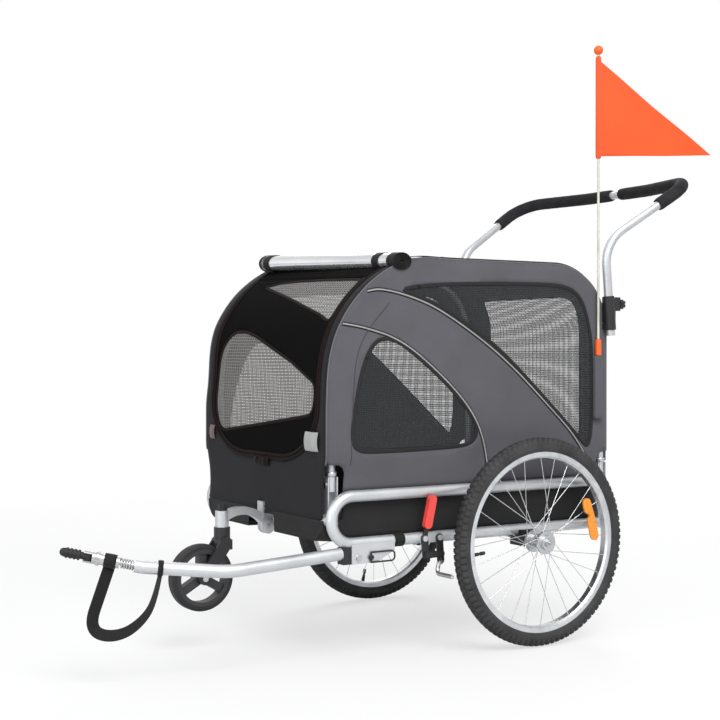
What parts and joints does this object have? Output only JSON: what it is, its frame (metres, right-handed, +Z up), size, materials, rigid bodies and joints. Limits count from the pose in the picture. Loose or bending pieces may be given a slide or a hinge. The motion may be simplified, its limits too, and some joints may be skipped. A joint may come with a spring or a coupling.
{
  "type": "dog bike trailer",
  "caption": "Towed fabric dog trailer with spoked wheels, side tow arm, front caster, push handle, parking brake and a safety flag.",
  "frame": {"origin": "on the ground, at the centre of the whole trailer's plan box", "axes": "+Z up, -Y the way it is towed, +X the trailer's left side, where the tow arm is"},
  "size_m": [0.8146, 1.6882, 1.451],
  "materials": {
    "steel_tube": "silver powder coat on round tube",
    "steel_bright": "zinc-plated steel",
    "alloy_rim": "satin alloy",
    "alloy_hub": "satin alloy",
    "black_plastic": "moulded black plastic",
    "red_plastic": "moulded red plastic",
    "caster_plastic": "moulded dark grey plastic",
    "tyre_rubber": "black tread rubber",
    "soft_rubber": "black rubber",
    "grip_foam": "black foam rubber",
    "side_cloth": "grey coated polyester",
    "front_cloth": "dark coated polyester",
    "door_cloth": "black mesh and webbing",
    "tub_cloth": "black coated polyester",
    "mat_cloth": "padded cloth",
    "cover_cloth": "clear-fronted weather cover, rolled",
    "board": "hollow plastic board",
    "webbing": "woven webbing",
    "flag_cloth": "orange nylon",
    "pole": "white fibreglass"
  },
  "bodies": {
    "trailer": {"left_side_rail": "steel_tube", "right_side_rail": "steel_tube", "cross_tubes": "steel_tube", "axle_brackets": "black_plastic", "hinge_brackets": "steel_tube", "frame_fasteners": "steel_bright", "left_hoop": "steel_tube", "right_hoop": "steel_tube", "wheel_axles": "steel_bright", "front_panel": "front_cloth", "roof_panel": "side_cloth", "left_side_panel": "side_cloth", "right_side_panel": "side_cloth", "lower_tub": "tub_cloth", "floor_board": "board", "floor_mat": "mat_cloth", "rolled_cover": "cover_cloth", "tow_bracket": "steel_tube", "tow_bolt": "steel_bright", "caster_clamp": "black_plastic", "caster_pivot_pin": "steel_bright", "caster_arm": "steel_tube", "brake_bracket": "steel_tube", "handle_clamps": "black_plastic", "flag_pocket": "tub_cloth"},
    "front_door": {"front_door": "door_cloth"},
    "left_wheel": {"left_tyre": "tyre_rubber", "left_rim": "alloy_rim", "left_spokes": "steel_bright", "left_hub": "alloy_hub"},
    "right_wheel": {"right_tyre": "tyre_rubber", "right_rim": "alloy_rim", "right_spokes": "steel_bright", "right_hub": "alloy_hub"},
    "left_axle_button": {"left_axle_button": "steel_bright"},
    "right_axle_button": {"right_axle_button": "steel_bright"},
    "tow_arm": {"tow_arm": "steel_tube", "tow_plug": "black_plastic", "hitch_spring": "steel_bright", "hitch_sleeve": "steel_bright", "safety_strap": "webbing"},
    "hitch_clevis": {"hitch_clevis": "steel_bright"},
    "hitch_coupler": {"hitch_coupler": "soft_rubber"},
    "tow_lock_pin": {"tow_lock_pin": "black_plastic"},
    "caster_lock_clip": {"caster_lock_clip": "steel_bright"},
    "caster_knob": {"caster_knob": "black_plastic"},
    "caster_fork": {"caster_fork": "black_plastic", "caster_axle": "steel_bright"},
    "caster_wheel": {"caster_wheel": "caster_plastic", "caster_tyre": "soft_rubber"},
    "brake_lever": {"brake_lever": "steel_bright", "brake_grip": "red_plastic"},
    "brake_link": {"brake_link": "steel_bright"},
    "brake_arm": {"brake_arm": "steel_bright"},
    "handlebar": {"handlebar": "steel_tube", "handle_grips": "grip_foam"},
    "left_clamp_knob": {"left_clamp_knob": "black_plastic"},
    "right_clamp_knob": {"right_clamp_knob": "black_plastic"},
    "flag": {"flag_pole": "pole", "flag": "flag_cloth"}
  },
  "joints": [
    {"name": "left_wheel_spin", "type": "hinge", "parent": "trailer", "child": "left_wheel", "pos_m": [0.365, 0.25261, 0.245], "axis": [1, 0, 0], "continuous": true},
    {"name": "right_wheel_spin", "type": "hinge", "parent": "trailer", "child": "right_wheel", "pos_m": [-0.365, 0.25261, 0.245], "axis": [1, 0, 0], "continuous": true},
    {"name": "left_axle_button_press", "type": "slide", "parent": "trailer", "child": "left_axle_button", "axis": [-1, 0, 0], "range_m": [0, 0.003], "stiffness_N_per_m": 900},
    {"name": "right_axle_button_press", "type": "slide", "parent": "trailer", "child": "right_axle_button", "axis": [1, 0, 0], "range_m": [0, 0.003], "stiffness_N_per_m": 900},
    {"name": "front_door_lift", "type": "hinge", "parent": "trailer", "child": "front_door", "pos_m": [0, -0.1539, 0.8517], "axis": [-1, 0, 0], "range_deg": [0, 95]},
    {"name": "tow_arm_swing", "type": "hinge", "parent": "trailer", "child": "tow_arm", "pos_m": [0.3, -0.2174, 0.237], "axis": [1, 0, 0], "range_deg": [0, 16]},
    {"name": "hitch_roll", "type": "hinge", "parent": "tow_arm", "child": "hitch_clevis", "pos_m": [0.19154, -0.77655, 0.26571], "axis": [-0.4409, -0.8739, 0.2047], "continuous": true},
    {"name": "coupler_tilt", "type": "hinge", "parent": "hitch_clevis", "child": "hitch_coupler", "pos_m": [0.18471, -0.7901, 0.26888], "axis": [0.0922, 0.1828, 0.9788], "range_deg": [-35, 35]},
    {"name": "tow_lock_pin_pull", "type": "slide", "parent": "trailer", "child": "tow_lock_pin", "axis": [1, 0, 0], "range_m": [0, 0.042]},
    {"name": "caster_lock_clip_pull", "type": "slide", "parent": "trailer", "child": "caster_lock_clip", "axis": [1, 0, 0], "range_m": [0, 0.034]},
    {"name": "caster_knob_turn", "type": "hinge", "parent": "trailer", "child": "caster_knob", "pos_m": [0, -0.39639, 0.322], "axis": [0, 0, 1], "continuous": true},
    {"name": "caster_swivel", "type": "hinge", "parent": "trailer", "child": "caster_fork", "pos_m": [0, -0.39639, 0.284], "axis": [0, 0, 1], "continuous": true},
    {"name": "caster_wheel_spin", "type": "hinge", "parent": "caster_fork", "child": "caster_wheel", "pos_m": [0, -0.45039, 0.171], "axis": [1, 0, 0], "continuous": true},
    {"name": "brake_lever_swing", "type": "hinge", "parent": "trailer", "child": "brake_lever", "pos_m": [0.316, -0.04439, 0.268], "axis": [1, 0, 0], "range_deg": [0, 12]},
    {"name": "brake_link_pivot", "type": "hinge", "parent": "brake_lever", "child": "brake_link", "pos_m": [0.32, -0.0404, 0.231], "axis": [1, 0, 0], "range_deg": [-12, 0]},
    {"name": "brake_arm_swing", "type": "hinge", "parent": "trailer", "child": "brake_arm", "pos_m": [0.316, -0.0034, 0.268], "axis": [1, 0, 0], "range_deg": [0, 12]},
    {"name": "handle_height", "type": "slide", "parent": "trailer", "child": "handlebar", "axis": [0, -0.0813, 0.9967], "range_m": [-0.05, 0.03]},
    {"name": "left_clamp_knob_turn", "type": "hinge", "parent": "trailer", "child": "left_clamp_knob", "pos_m": [0.303, 0.55546, 0.8105], "axis": [0, 1, 0], "continuous": true},
    {"name": "right_clamp_knob_turn", "type": "hinge", "parent": "trailer", "child": "right_clamp_knob", "pos_m": [-0.303, 0.55546, 0.8105], "axis": [0, 1, 0], "continuous": true},
    {"name": "flag_turn", "type": "hinge", "parent": "trailer", "child": "flag", "pos_m": [0.298, 0.49361, 0.541], "axis": [0, 0, 1], "continuous": true}
  ],
  "couplings": [
    {"joint": "brake_link_pivot", "follows": "brake_lever_swing", "ratio": -1},
    {"joint": "brake_arm_swing", "follows": "brake_lever_swing", "ratio": 1}
  ]
}
